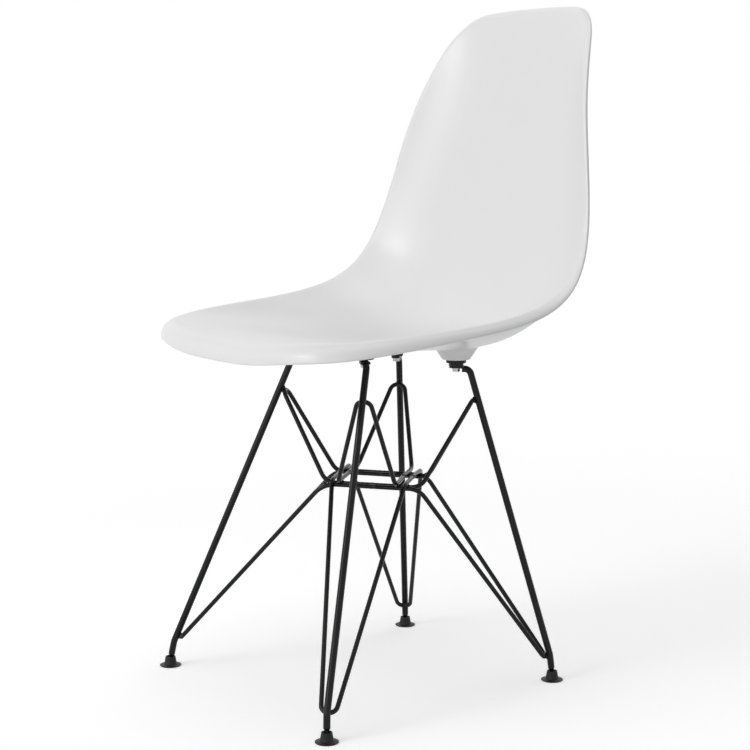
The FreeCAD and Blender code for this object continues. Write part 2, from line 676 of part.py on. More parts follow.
def hairpin(name, level, end, mirror):
    """One hairpin. The diagonal from front left to rear right lies on top of its mirror image."""
    cap = end.capitalize()
    toward = diagonal * (1.0 / diagonal.Length)
    sideways = Vector(-toward.y, toward.x, 0)
    height = size("BarHeight") + (-0.5 if mirror else 0.5) * (size("BraceWire") + size("WeldGap"))
    centre = Vector(0, size("BraceCentreY"), height)
    heading = toward if end == "front" else toward * -1.0
    gap = size(level + "BarGap")
    reach = size(level + cap + "Reach")
    if mirror and level == "Lower" and end == "front":
        reach = reach - size("BraceWire") * 0.9
    c = CORNERS["front_left" if end == "front" else "rear_right"]
    leg = c["shoulder"] - c["ankle"]
    if level == "Upper":
        weld_height = c["shoulder"].z - size("Upper%sDrop" % cap)
    else:
        weld_height = size("Lower%sWeld" % cap)
    share = (weld_height - c["ankle"].z) / leg.z
    on_leg = c["ankle"] + leg * share
    leg.normalize()
    inward = heading * -1.0 - leg * (heading.dot(leg) * -1.0)
    inward.normalize()
    tip = on_leg + inward * (size("LegRod") / 2.0 + size("BraceWire") / 2.0 + size("WeldGap"))
    corner1 = centre + heading * reach + sideways * gap
    corner2 = centre + heading * reach - sideways * gap
    arm = (tip - (corner1 + corner2) * 0.5).normalize()
    across = (sideways - arm * sideways.dot(arm)).normalize()
    radius = size("HairpinRadius")
    eye = tip - arm * radius

    def touch(corner, hand):
        """Where the arm from this corner touches the turn at the tip."""
        flat = corner - eye
        x, y = flat.dot(arm), flat.dot(across) * hand
        angle = math.atan2(y, x) - math.acos(radius / math.hypot(x, y))
        return eye + arm * (radius * math.cos(angle)) + across * (hand * radius * math.sin(angle))
    touch1, touch2 = touch(corner1, 1.0), touch(corner2, -1.0)
    edges = []
    starts = (centre + sideways * gap, centre - sideways * gap)

    def bend(outer, corner, inner):
        back, ahead = (outer - corner).normalize(), (inner - corner).normalize()
        half = back.getAngle(ahead) / 2.0
        bisector = (back + ahead).normalize()
        radius_here = size("BraceBend")
        reach_here = radius_here / math.tan(half)
        middle = corner + bisector * (radius_here / math.sin(half) - radius_here)
        return corner + back * reach_here, middle, corner + ahead * reach_here
    a1, m1, b1 = bend(starts[0], corner1, touch1)
    a2, m2, b2 = bend(touch2, corner2, starts[1])
    route = [("line", starts[0], a1), ("arc", a1, m1, b1), ("line", b1, touch1),
             ("arc", touch1, tip, touch2), ("line", touch2, a2), ("arc", a2, m2, b2),
             ("line", b2, starts[1])]
    flip = -1.0 if mirror else 1.0
    for step in route:
        points = [Vector(p.x * flip, p.y, p.z) for p in step[1:]]
        if step[0] == "line":
            edges.append(Part.LineSegment(points[0], points[1]).toShape())
        else:
            edges.append(Part.Arc(points[0], points[1], points[2]).toShape())
    return sweep_along(name, edges, "Sizes.BraceWire")


for level in ("Upper", "Lower"):
    for end, mirror, corner in (("front", False, "front_left"), ("front", True, "front_right"),
                                ("rear", True, "rear_left"), ("rear", False, "rear_right")):
        nodes.append(hairpin("brace_%s_%s" % (level.lower(), corner), level, end, mirror))

# Feet: a disc with a dome, and the socket that snaps over the ball
RIM_RADIUS = [(0.5, "GlideDiameter")]
for corner, c in CORNERS.items():
    place = Placement(c["foot"], Rotation())
    blank = turned("glide_blank_" + corner, [
        ([], []), ([(0.5, "GlideDiameter"), (-0.5, "GlideEdge")], []), (RIM_RADIUS, [(0.5, "GlideEdge")]),
        (RIM_RADIUS, [(1, "GlideEdge")]), ([(0.5, "DomeFoot")], [(1, "GlideBrim")]),
        ([(0.25, "DomeFoot"), (0.25, "DomeTop")], [(0.35, "DomeHeight"), (0.65, "GlideBrim")]),
        ([(0.5, "DomeTop")], [(1, "DomeHeight")]), ([], [(1, "DomeHeight")]),
    ], place)
    centre = at(place, 0, 0, size("BallHeight"))
    socket = ball("socket_" + corner, centre, "Sizes.BallDiameter / 2 + Sizes.BallClearance")
    mouth = cone("mouth_" + corner, at(centre, 0, 0, size("SocketLip")),
                 "sqrt((Sizes.BallDiameter / 2 + Sizes.BallClearance)^2 - Sizes.SocketLip^2)",
                 "Sizes.MouthTop / 2", "Sizes.DomeHeight - Sizes.BallHeight - Sizes.SocketLip")
    hollow = fuse("hollow_" + corner, [socket, mouth])
    nodes.append(cut("glide_" + corner, blank, hollow))


def four(name, make):
    """The same fastener at the four mounts, in one node."""
    group = doc.addObject("Part::Compound", name)
    group.Links = [make(corner, c) for corner, c in CORNERS.items()]
    group.Label = name
    nodes.append(group)


def insert(corner, c):
    outside = cylinder("insert_body_" + corner, c["frame"], "Sizes.InsertDiameter / 2",
                       "Sizes.InsertLength")
    bore = cylinder("insert_thread_" + corner, at(c["frame"], 0, 0, -1),
                    "Sizes.BoltDiameter / 2 + Sizes.BoltThreadGap", "Sizes.InsertLength + 2")
    return cut("insert_" + corner, outside, bore)


def washer(corner, c):
    drop = size("FlangeThickness") + size("NeckHeight") + size("LugThickness")
    low = at(c["frame"], 0, 0, -drop - size("WasherThickness"))
    disc = cylinder("washer_disc_" + corner, low, "Sizes.WasherDiameter / 2", "Sizes.WasherThickness")
    hole = cylinder("washer_hole_" + corner, at(low, 0, 0, -1),
                    "Sizes.BoltDiameter / 2 + Sizes.HoleClearance", "Sizes.WasherThickness + 2")
    return cut("washer_" + corner, disc, hole)


def bolt(corner, c):
    drop = size("FlangeThickness") + size("NeckHeight") + size("LugThickness") + size("WasherThickness")
    top = at(c["frame"], 0, 0, -drop)
    head = doc.addObject("Part::Prism", "bolt_hexagon_" + corner)
    head.Polygon = 6
    bind(head, Circumradius="Sizes.BoltHeadWidth / sqrt(3)", Height="Sizes.BoltHeadHeight")
    head.Placement = at(top, 0, 0, -size("BoltHeadHeight"))
    dome = cone("bolt_chamfer_" + corner, at(top, 0, 0, -size("BoltHeadHeight")),
                "Sizes.BoltHeadWidth / 2", "Sizes.BoltHeadWidth / 2 + 1.6 * Sizes.BoltHeadHeight",
                "Sizes.BoltHeadHeight")
    turned_head = doc.addObject("Part::MultiCommon", "bolt_head_" + corner)
    turned_head.Shapes = [head, dome]
    shank = cylinder("bolt_shank_" + corner, at(top, 0, 0, -size("BoltHeadHeight") / 2.0),
                     "Sizes.BoltDiameter / 2",
                     "Sizes.BoltHeadHeight / 2 + Sizes.WasherThickness + Sizes.LugThickness"
                     " + Sizes.NeckHeight + Sizes.FlangeThickness + Sizes.InsertLength"
                     " - Sizes.BoltEndGap")
    return fuse("bolt_" + corner, [turned_head, shank])


four("thread_inserts", insert)
four("bolt_washers", washer)
four("mount_bolts", bolt)

# Check, then write each sub-part
doc.recompute()
for obj in doc.Objects:
    if "Invalid" in obj.State or "Error" in obj.State:
        raise RuntimeError("%s did not build: %s" % (obj.Name, obj.State))
for node in nodes:
    if node.Shape.isNull() or not node.Shape.isValid() or not node.Shape.Solids:
        raise RuntimeError("%s has no valid shape" % node.Label)
os.makedirs("parts", exist_ok=True)
for node in nodes:
    node.Shape.exportStep("parts/%s.step" % node.Label)
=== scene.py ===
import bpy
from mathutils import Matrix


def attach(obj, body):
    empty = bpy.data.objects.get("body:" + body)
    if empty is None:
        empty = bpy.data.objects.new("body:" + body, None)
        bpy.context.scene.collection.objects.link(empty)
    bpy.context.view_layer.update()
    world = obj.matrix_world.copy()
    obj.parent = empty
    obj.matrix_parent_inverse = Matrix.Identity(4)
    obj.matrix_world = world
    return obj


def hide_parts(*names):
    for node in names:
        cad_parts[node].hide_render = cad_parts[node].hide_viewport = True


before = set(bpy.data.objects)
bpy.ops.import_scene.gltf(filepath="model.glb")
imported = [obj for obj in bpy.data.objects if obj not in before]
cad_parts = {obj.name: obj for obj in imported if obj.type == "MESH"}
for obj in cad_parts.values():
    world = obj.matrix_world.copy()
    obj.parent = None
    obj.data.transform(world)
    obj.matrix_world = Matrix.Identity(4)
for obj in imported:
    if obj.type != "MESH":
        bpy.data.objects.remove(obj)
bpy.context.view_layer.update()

import math

import bmesh
import bpy
import numpy as np
from mathutils import Vector

MM = 0.001

# Camera: the photograph's viewpoint, worked out from the feet and the legs
camera_place = Vector((1.74065, -1.26288, 0.67018))
yaw, pitch = math.radians(54.297), math.radians(7.768)
heading = Vector((-math.sin(yaw) * math.cos(pitch), math.cos(yaw) * math.cos(pitch), -math.sin(pitch)))
camera_data = bpy.data.cameras.new("camera")
camera_data.sensor_width = 36.0
camera_data.lens = 84.49
camera_data.clip_start = 0.05
camera_data.clip_end = 60.0
camera = bpy.data.objects.new("camera", camera_data)
camera.location = camera_place
camera.rotation_mode = "QUATERNION"
camera.rotation_quaternion = heading.to_track_quat("-Z", "Y")
bpy.context.scene.collection.objects.link(camera)
bpy.context.scene.camera = camera


# Seat shell: the sizes are those of the built part, in millimetres
SECTIONS = np.array([
    # middle line y, rise; rim line y, rise; half width
    (-223.1, 21.5, -241.6, 29.5, 131.5),
    (-154.1, 21.0, -189.1, 30.5, 176.0),
    (-71.1, 9.0, -114.6, 35.0, 203.0),
    (18.9, 0.0, -29.6, 40.5, 211.5),
    (99.9, 4.5, 55.9, 53.5, 211.0),
    (158.9, 55.5, 119.9, 92.0, 208.5),
    (191.9, 147.5, 152.9, 175.5, 192.5),
    (213.4, 266.0, 175.9, 289.0, 161.0),
    (233.4, 407.0, 219.4, 401.5, 119.0),
])
SEAT_LOW = 415.5
WALL, EDGE_ROUND = 4.6, 1.7
HALF_LENGTH, SEAT_HALF_WIDTH = 408.0, 210.0
# corner radius and half width of the flat outline, at the front and at the top of the back
FRONT_CORNER, FRONT_WIDTH = 121.0, 199.0
TOP_CORNER, TOP_WIDTH = 34.0, 136.0
# from the front to the top: radius and turn of the rim's roll, and how round the hollow is
ROLL_RADII = (18.5, 19.0, 17.8, 15.8, 14.1, 10.0, 7.6, 7.8, 8.9)
ROLL_TURNS = (108.0, 98.0, 97.0, 98.0, 105.0, 89.0, 69.0, 68.0, 83.0)
ROUNDNESS = (0.5, 0.5, 0.6, 0.6)


def natural_spline(values):
    """Smooth curve over 0 to 1 through evenly spaced values."""
    values = np.asarray(values, float)
    n = len(values) - 1
    bend = np.zeros(n + 1)
    passes = 60
    for _ in range(passes):
        for i in range(1, n):
            pull = 6.0 * (values[i - 1] - 2.0 * values[i] + values[i + 1])
            bend[i] = (pull - bend[i - 1] - bend[i + 1]) / 4.0

    def curve(x):
        x = np.asarray(x, float)
        i = np.clip((x * n).astype(int), 0, n - 1)
        b = x * n - i
        a = 1.0 - b
        return (a * values[i] + b * values[i + 1]
                + ((a ** 3 - a) * bend[i] + (b ** 3 - b) * bend[i + 1]) / 6.0)
    return curve


mid_y = natural_spline(SECTIONS[:, 0])
mid_z = natural_spline(SECTIONS[:, 1] + SEAT_LOW)
rim_y = natural_spline(SECTIONS[:, 2])
rim_z = natural_spline(SECTIONS[:, 3] + SEAT_LOW)
half_width = natural_spline(SECTIONS[:, 4])
roundness = natural_spline(ROUNDNESS)
roll_radius = natural_spline(ROLL_RADII)
roll_turn = natural_spline(ROLL_TURNS)


def carrier(along, across):
    """Points of the shell's upper face; along and across run from -1 to 1."""
    s = (along + 1.0) / 2.0
    share = roundness(s)
    hollow = share * across ** 2 + (1.0 - share) * across ** 4
    y = mid_y(s) + (rim_y(s) - mid_y(s)) * hollow
    z = mid_z(s) + (rim_z(s) - mid_z(s)) * hollow
    return np.stack([half_width(s) * across, y, z], -1)


def unit(v):
    """Vectors scaled to a length of 1."""
    return v / np.linalg.norm(v, axis=-1, keepdims=True)


def carrier_normal(along, across):
    """Direction out of the shell's upper face at the same points."""
    step = 1e-4
    d_along = carrier(along + step, across) - carrier(along - step, across)
    d_across = carrier(along, across + step) - carrier(along, across - step)
    return unit(np.cross(d_across, d_along))


def flat_outline(u, v):
    """Square from -1 to 1 with its corners pulled in to the shell's rounded outline."""
    # from the front's corners to the top's, smoothly over the middle
    reach = 0.6
    blend = np.clip((u + reach) / (2.0 * reach), 0.0, 1.0)
    blend = blend * blend * (3.0 - 2.0 * blend)
    in_along, in_across = 0.0, 0.0
    for radius, width, weight in ((FRONT_CORNER, FRONT_WIDTH, 1.0 - blend),
                                  (TOP_CORNER, TOP_WIDTH, blend)):
        cut = radius * (1.0 - math.sqrt(0.5))
        in_along = in_along + weight * cut / HALF_LENGTH * np.abs(v) ** ((width - cut) / cut)
        in_across = in_across + weight * cut / width * np.abs(u) ** ((HALF_LENGTH - cut) / cut)
    return u * (1.0 - in_along), v * (1.0 - in_across)


def spread(count, pull):
    """Values from -1 to 1, closer together at both ends."""
    x = np.linspace(-1.0, 1.0, count)
    return (1.0 - pull) * x + pull * np.sin(x * math.pi / 2.0)


def mesh_object(name, vertices, faces):
    """Smooth-shaded object from vertices in millimetres."""
    mesh = bpy.data.meshes.new(name)
    mesh.from_pydata([tuple(v) for v in np.array(vertices) * MM], [], [tuple(f) for f in faces])
    mesh.validate()
    bm = bmesh.new()
    bm.from_mesh(mesh)
    bmesh.ops.recalc_face_normals(bm, faces=bm.faces)
    bm.to_mesh(mesh)
    bm.free()
    mesh.polygons.foreach_set("use_smooth", [True] * len(mesh.polygons))
    obj = bpy.data.objects.new(name, mesh)
    bpy.context.scene.collection.objects.link(obj)
    return obj


def belt(one, two):
    """Faces between two closed rings, each a list of vertex numbers."""
    return list(zip(one, one[1:] + one[:1], two[1:] + two[:1], two))


def tube_faces(rows, around, first=0, closed=False):
    """Faces of a tube: rows of rings, whose vertex numbers count up from the first."""
    rings = [list(range(first + k * around, first + (k + 1) * around)) for k in range(rows)]
    if closed:
        rings.append(rings[0])
    return [face for one, two in zip(rings, rings[1:]) for face in belt(one, two)]


def build_shell():
    """Seat shell: both faces of its wall, and the rolled rim between them."""
    count_u, count_v, crowding = 150, 84, 0.86
    grid_u, grid_v = np.meshgrid(spread(count_u, crowding), spread(count_v, crowding), indexing="ij")
    along, across = flat_outline(grid_u, grid_v)
    top = carrier(along, across)
    normal = carrier_normal(along, across)
    under = top - normal * WALL
    # the boundary, once round
    loop = [(0, j) for j in range(count_v - 1)]
    loop += [(i, count_v - 1) for i in range(count_u - 1)]
    loop += [(count_u - 1, j) for j in range(count_v - 1, 0, -1)]
    loop += [(i, 0) for i in range(count_u - 1, 0, -1)]
    rows = np.array([i for i, j in loop])
    cols = np.array([j for i, j in loop])
    edge = top[rows, cols]
    up = normal[rows, cols]
    tangent = unit(np.roll(edge, -1, 0) - np.roll(edge, 1, 0))
    out = unit(np.cross(tangent, up))
    # outwards is away from points a little inside the edge
    inset = 0.97
    inside = carrier(along[rows, cols] * inset, across[rows, cols] * inset)
    out *= np.sign(np.median(np.sum((edge - inside) * out, 1)))
    s = (along[rows, cols] + 1.0) / 2.0
    radius = roll_radius(s)[:, None]
    turn = np.radians(roll_turn(s))[:, None]

    def rolled(r, angle):
        return edge - up * radius + out * (r * np.sin(angle)) + up * (r * np.cos(angle))

    roll_steps, corner_steps = 14, 5
    last = turn - EDGE_ROUND / (radius - WALL / 2.0)
    outer = [rolled(radius, last * k / roll_steps) for k in range(1, roll_steps + 1)]
    inner = [rolled(radius - WALL, last * k / roll_steps) for k in range(roll_steps, 0, -1)]
    # the rim's free edge, with rounded corners
    ahead = out * np.cos(last) - up * np.sin(last)
    side = unit(outer[-1] - inner[0])
    middle = (outer[-1] + inner[0]) / 2.0

    def rounded(hand, step):
        angle = math.pi / 2.0 * step / corner_steps
        aside = WALL / 2.0 - EDGE_ROUND + EDGE_ROUND * math.cos(angle)
        return middle + side * (hand * aside) + ahead * (EDGE_ROUND * math.sin(angle))

    end = [rounded(1.0, k) for k in range(1, corner_steps + 1)]
    end += [rounded(-1.0, k) for k in range(corner_steps, 0, -1)]
    rings = outer + end + inner
    count = len(loop)
    rim = [point for ring in rings for point in ring]
    vertices = list(top.reshape(-1, 3)) + rim + list(under.reshape(-1, 3))
    first_ring = count_u * count_v
    first_under = first_ring + len(rim)

    def grid_faces(base):
        return [(base + i * count_v + j, base + (i + 1) * count_v + j,
                 base + (i + 1) * count_v + j + 1, base + i * count_v + j + 1)
                for i in range(count_u - 1) for j in range(count_v - 1)]

    belts = [[i * count_v + j for i, j in loop]]
    belts += [[first_ring + k * count + m for m in range(count)] for k in range(len(rings))]
    belts += [[first_under + i * count_v + j for i, j in loop]]
    faces = grid_faces(0) + grid_faces(first_under)
    for one, two in zip(belts, belts[1:]):
        faces += belt(one, two)
    return mesh_object("seat_shell_moulding", vertices, faces)


def under_height(x, y):
    """Height of the shell's underside over points x, y (arrays)."""
    along, across = np.full_like(x, -0.2), x / SEAT_HALF_WIDTH
    passes = 40
    for _ in range(passes):
        here = carrier(along, across) - carrier_normal(along, across) * WALL
        across = across + (x - here[..., 0]) / SEAT_HALF_WIDTH
        along = along + (y - here[..., 1]) / HALF_LENGTH
    return (carrier(along, across) - carrier_normal(along, across) * WALL)[..., 2]


shell = build_shell()

# Mounts: a boss under the seat at each corner, and a flanged spacer below each rear one
MOUNTS = {
    "front_left": (64.6, -74.2), "front_right": (-64.6, -74.2),
    "rear_left": (61.9, 66.0), "rear_right": (-61.9, 66.0),
}
BOSS_DEPTH = {"front": 10.7, "rear": 13.7}
BOSS_FOOT = {"front": 15.5, "rear": 17.5}
BOSS_BORE, BOSS_REACH, BOSS_BLEND = 4.2, 36.0, 5.0
BOSS_DRAFT = math.radians(33.0)
REAR_LUG_TOP = 390.28


def soft_min(a, b, width):
    """The lower of two heights, with a fillet where they meet."""
    blend = np.clip(0.5 + 0.5 * (b - a) / width, 0.0, 1.0)
    return b * (1.0 - blend) + a * blend - width * blend * (1.0 - blend)


def mount_level(x, y, depth):
    """Height of a boss's flat foot, this far below the shell's underside."""
    return float(under_height(np.array([x]), np.array([y]))[0]) - depth


def build_boss(name, x, y, depth, foot):
    """Cone under the seat, blended into the shell's underside."""
    level = mount_level(x, y, depth)
    around, cone_rows = 72, 30
    soft, lift, sunk, fade = 0.35, 0.12, 0.25, 6.0
    # rings of the foot: radius, and rise from its flat face
    foot_rings = [(BOSS_BORE, 1.2), (BOSS_BORE + 1.0, 0.0)]
    foot_rings += [(foot - 0.9, 0.0), (foot - 0.3, 0.1), (foot, soft)]
    angles = np.arange(around) * 2.0 * math.pi / around
    vertices = []

    def add_ring(r, height):
        vertices.extend(zip(x + r * np.cos(angles), y + r * np.sin(angles), height))

    for r, rise in foot_rings:
        add_ring(r, np.full(around, level + rise))
    for r in np.linspace(foot + 0.6, BOSS_REACH, cone_rows):
        cone = level + soft + (r - foot) / math.tan(BOSS_DRAFT)
        skin = under_height(x + r * np.cos(angles), y + r * np.sin(angles)) + lift
        # the outermost rings sink into the wall, so that no edge shows
        sink = sunk * np.clip((r - BOSS_REACH + fade) / fade, 0.0, 1.0) ** 2
        add_ring(r, soft_min(cone, skin, BOSS_BLEND) + sink)
    return mesh_object(name, vertices, tube_faces(len(foot_rings) + cone_rows, around))


def build_spacer(name, x, y, low, high):
    """Turned spacer between a rear boss and its lug: a neck below a wider flange."""
    around, bore, neck, flange, thick, soft = 48, 4.3, 9.0, 12.3, 4.5, 0.6
    brim, near, notch = high - thick, soft * 0.3, 0.5
    profile = [(bore, high), (flange - soft, high), (flange - near, high - near),
               (flange, high - soft), (flange, brim + soft), (flange - near, brim + near),
               (flange - soft, brim), (neck + notch, brim), (neck, brim - notch), (neck, low), (bore, low)]
    vertices = []
    for r, z in profile:
        for m in range(around):
            angle = 2.0 * math.pi * m / around
            vertices.append((x + r * math.cos(angle), y + r * math.sin(angle), z))
    spacer = mesh_object(name, vertices, tube_faces(len(profile), around, closed=True))
    edges = spacer.modifiers.new("crisp_edges", "EDGE_SPLIT")
    edges.split_angle = math.radians(50.0)
    return spacer


bosses, spacers = [], {}
for corner, (x, y) in MOUNTS.items():
    end = corner.split("_")[0]
    bosses.append(build_boss("boss_" + corner, x, y, BOSS_DEPTH[end], BOSS_FOOT[end]))
    if end == "rear":
        top = mount_level(x, y, BOSS_DEPTH[end])
        spacers[corner] = build_spacer("flanged_spacer_" + corner, x, y, REAR_LUG_TOP, top)

# Wires: two hairpins on each leg, welded to it at their tips and to each other where they cross
LEG_ROD, WIRE = 8.3, 5.6
# the left legs: foot and ankle, turn of the lug, and the way from the bolt to the rod's shoulder
FEET = {"front": (177.4, -205.5), "rear": (152.4, 148.9)}
ANKLES = {"front": (173.1, -202.3, 32.0), "rear": (150.2, 146.9, 32.0)}
LUG_TURN = {"front": math.radians(-22.8), "rear": math.radians(49.2)}
SHOULDER_OUT = {"front": 13.7, "rear": 16.4}
LUG_TOP = {"front": 406.38, "rear": REAR_LUG_TOP}
ROD_END, LUG_THICKNESS = 7.2, 3.0
# the bars where the wires cross: their middle, their lean and how far apart they lie
CROSSING_Y, BAR_HEIGHT = -11.1, 250.0
FRAME_LEAN = 0.035
HALF_GAP = {"upper": 34.5, "lower": 45.5}
UNDER_LAYER = ("front_right", "rear_left")
HAIRPINS = {
    # weld height; reach and half gap of its two corners; radius of the bends, of the tip
    ("upper", "front_left"): (364.0, (55.5, 35.5), (58.5, 34.5), 13.0, 9.5),
    ("upper", "front_right"): (359.0, (53.5, 34.5), (57.0, 35.0), 20.0, 12.0),
    ("upper", "rear_left"): (349.5, (61.5, 34.0), (59.5, 35.5), 19.0, 10.5),
    ("upper", "rear_right"): (352.0, (56.5, 35.5), (57.5, 34.0), 15.0, 10.0),
    ("lower", "front_left"): (32.7, (50.5, 46.0), (50.0, 44.0), 20.0, 9.5),
    ("lower", "front_right"): (41.0, (56.0, 45.5), (58.5, 46.0), 35.0, 11.0),
    ("lower", "rear_left"): (31.7, (58.0, 45.5), (58.5, 45.0), 24.0, 8.5),
    ("lower", "rear_right"): (31.6, (55.5, 47.5), (54.5, 44.5), 19.0, 9.5),
}
ARC_STEPS, RUN_STEP = 10, 6.0
UP = np.array((0.0, 0.0, 1.0))


def side_of(corner):
    """1 on the sitter's left, -1 on the right."""
    return 1.0 if corner.endswith("left") else -1.0


def bar_heading(corner):
    """Level direction from the middle of the base towards one leg."""
    front = 1.0 if corner.startswith("front") else -1.0
    across, along = FEET["front"][0] + FEET["rear"][0], FEET["front"][1] - FEET["rear"][1]
    return unit(np.array((side_of(corner) * across, front * along, 0.0)))


def bar_point(corner, reach, aside):
    """Point on the bars' middle line: the frame of bars leans a little down to the rear left."""
    heading = bar_heading(corner)
    sideways = np.cross(UP, heading) * side_of(corner)
    point = np.array((0.0, CROSSING_Y, 0.0)) + heading * reach + sideways * aside
    lean = FRAME_LEAN * (point - (0.0, CROSSING_Y, 0.0)).dot(bar_heading("rear_left"))
    layer = -WIRE / 2.0 if corner in UNDER_LAYER else WIRE / 2.0
    return point + UP * (BAR_HEIGHT - lean + layer)


def leg_line(corner):
    """Ankle and shoulder of one leg."""
    end = corner.split("_")[0]
    x, y = MOUNTS[end + "_left"]
    outward = np.array((math.cos(LUG_TURN[end]), math.sin(LUG_TURN[end]), 0.0))
    shoulder = np.array((x, y, LUG_TOP[end] - LEG_ROD / 2.0)) + outward * SHOULDER_OUT[end]
    turned = (side_of(corner), 1.0, 1.0)
    return np.array(ANKLES[end]) * turned, shoulder * turned


def weld_place(level, corner):
    """The leg's axis at a hairpin's weld, the leg's direction, and the direction to the wire."""
    ankle, shoulder = leg_line(corner)
    leg = shoulder - ankle
    place = ankle + leg * ((HAIRPINS[level, corner][0] - ankle[2]) / leg[2])
    leg = unit(leg)
    heading = bar_heading(corner)
    return place, leg, unit(leg * heading.dot(leg) - heading)


def arc_between(centre, start, finish, steps):
    """Points on the shorter arc round a centre, both ends with it."""
    one, two = start - centre, finish - centre
    angle = math.acos(np.clip(unit(one).dot(unit(two)), -1.0, 1.0))
    side = unit(two - unit(one) * two.dot(unit(one))) * np.linalg.norm(one)
    return [centre + one * math.cos(angle * k / steps) + side * math.sin(angle * k / steps)
            for k in range(steps + 1)]


def hairpin_line(level, corner):
    """Middle line of one hairpin, from one end on its bar round the tip to the other."""
    _, first, second, bend_radius, tip_radius = HAIRPINS[level, corner]
    place, _, inward = weld_place(level, corner)
    tip = place + inward * (LEG_ROD + WIRE) / 2.0
    corners = [bar_point(corner, first[0], first[1]), bar_point(corner, second[0], -second[1])]
    arm = unit(tip - (corners[0] + corners[1]) / 2.0)
    sideways = corners[0] - corners[1]
    across = unit(sideways - arm * sideways.dot(arm))
    eye = tip - arm * tip_radius
    halves = []
    for bend, hand in ((corners[0], 1.0), (corners[1], -1.0)):
        along_arm, aside = (bend - eye).dot(arm), (bend - eye).dot(across) * hand
        angle = math.atan2(aside, along_arm) - math.acos(tip_radius / math.hypot(along_arm, aside))
        touch = eye + (arm * math.cos(angle) + across * hand * math.sin(angle)) * tip_radius
        start = bar_point(corner, 0.0, hand * HALF_GAP[level])
        back, ahead = unit(start - bend), unit(touch - bend)
        half = math.acos(back.dot(ahead)) / 2.0
        middle = bend + unit(back + ahead) * bend_radius / math.sin(half)
        cut = bend_radius / math.tan(half)
        line = [start] + arc_between(middle, bend + back * cut, bend + ahead * cut, ARC_STEPS)
        halves.append(line + arc_between(eye, touch, tip, ARC_STEPS))
    line = halves[0] + halves[1][-2::-1]
    # short steps along the straight runs, so that the flat ends don't shade a whole run
    fine = [line[0]]
    for here, there in zip(line, line[1:]):
        parts = max(1, int(np.linalg.norm(there - here) / RUN_STEP))
        fine += [here + (there - here) * k / parts for k in range(1, parts + 1)]
    return np.array(fine)


def build_wire(name, line):
    """Round wire along a line, with flat ends."""
    around = 20
    tangents = unit(np.vstack((line[1] - line[0], line[2:] - line[:-2], line[-1] - line[-2])))
    side = unit(np.cross(tangents[0], UP))
    vertices = []
    for point, tangent in zip(line, tangents):
        side = unit(side - tangent * side.dot(tangent))
        other = np.cross(tangent, side)
        for m in range(around):
            angle = 2.0 * math.pi * m / around
            vertices.append(point + (side * math.cos(angle) + other * math.sin(angle)) * WIRE / 2.0)
    ends = [range(around), range(len(vertices) - around, len(vertices))]
    wire = mesh_object(name, vertices, tube_faces(len(line), around) + ends)
    # only the four-cornered faces along the wire are smooth
    for face in wire.data.polygons:
        face.use_smooth = len(face.vertices) == 4
    return wire


wires = {}
for level, corner in HAIRPINS:
    wires[level, corner] = build_wire("wire_%s_%s" % (level, corner), hairpin_line(level, corner))

# Welds: small beads where the wires meet the legs and each other, and at the lugs
# half-axes of a bead: across its joint, along it and out of it
LUG_BEAD, LUG_BEAD_ASIDE = (2.6, 1.8, 2.1), 3.6
TIP_BEAD = (4.4, 4.3, 2.1)
BUTT_LENGTH, BUTT_RADIUS = 2.2, 2.95
NUGGET_WIDTH, NUGGET_HEIGHT = 2.5, 1.0
WELD_SHIFT = 0.3
LUMPS, RIPPLES = 0.07, 0.04
weld_points, weld_faces = [], []


def weld_bead(centre, one, two, three, turn):
    """A lump of weld metal: three half-axes as vectors, and a turn for its ripples."""
    rows, around, pole = 12, 20, 0.12
    base = len(weld_points)
    for i in range(rows + 1):
        polar = pole + (math.pi - 2.0 * pole) * i / rows
        for m in range(around):
            angle = 2.0 * math.pi * m / around
            lump = 1.0 + LUMPS * math.sin(3.0 * angle + turn) * math.sin(polar)
            lump += RIPPLES * math.sin(9.0 * polar + 2.0 * turn)
            flat = math.sin(polar) * lump
            weld_points.append(centre + one * (math.cos(polar) * lump)
                               + two * (flat * math.cos(angle)) + three * (flat * math.sin(angle)))
    last = base + rows * around
    weld_faces.extend(tube_faces(rows + 1, around, base))
    weld_faces.extend([range(base, base + around), range(last + around - 1, last - 1, -1)])


